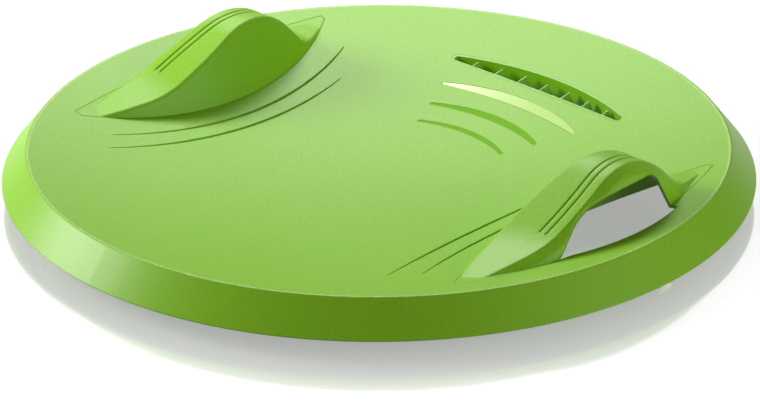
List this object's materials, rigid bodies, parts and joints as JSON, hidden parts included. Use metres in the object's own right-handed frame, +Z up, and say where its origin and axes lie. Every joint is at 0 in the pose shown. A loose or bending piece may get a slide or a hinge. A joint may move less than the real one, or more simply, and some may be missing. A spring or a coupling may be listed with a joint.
{
  "type": "saucer sled",
  "caption": "Round dished snow saucer with a turned-down skirt, hollow hump handles with finger windows, a ribbed carry slot and gloss crescent inlays.",
  "frame": {"origin": "on the ground under the middle of the dish, in the plane of the flat rest face", "axes": "+Z up, +Y towards the carry slot, +X towards the right handle"},
  "size_m": [0.6, 0.5999, 0.0734],
  "materials": {
    "pan_shell": "fine moulded grain",
    "handle_shell": "fine moulded grain on the band, smooth walls",
    "slot_liner": "smooth satin",
    "gloss_inlay": "polished"
  },
  "bodies": {
    "root": {"saucer_pan": "pan_shell", "right_handle": "handle_shell", "left_handle": "handle_shell", "carry_slot_liner": "slot_liner", "crescent_inlay_large": "gloss_inlay", "crescent_inlay_middle": "gloss_inlay", "crescent_inlay_small": "gloss_inlay"}
  },
  "joints": []
}
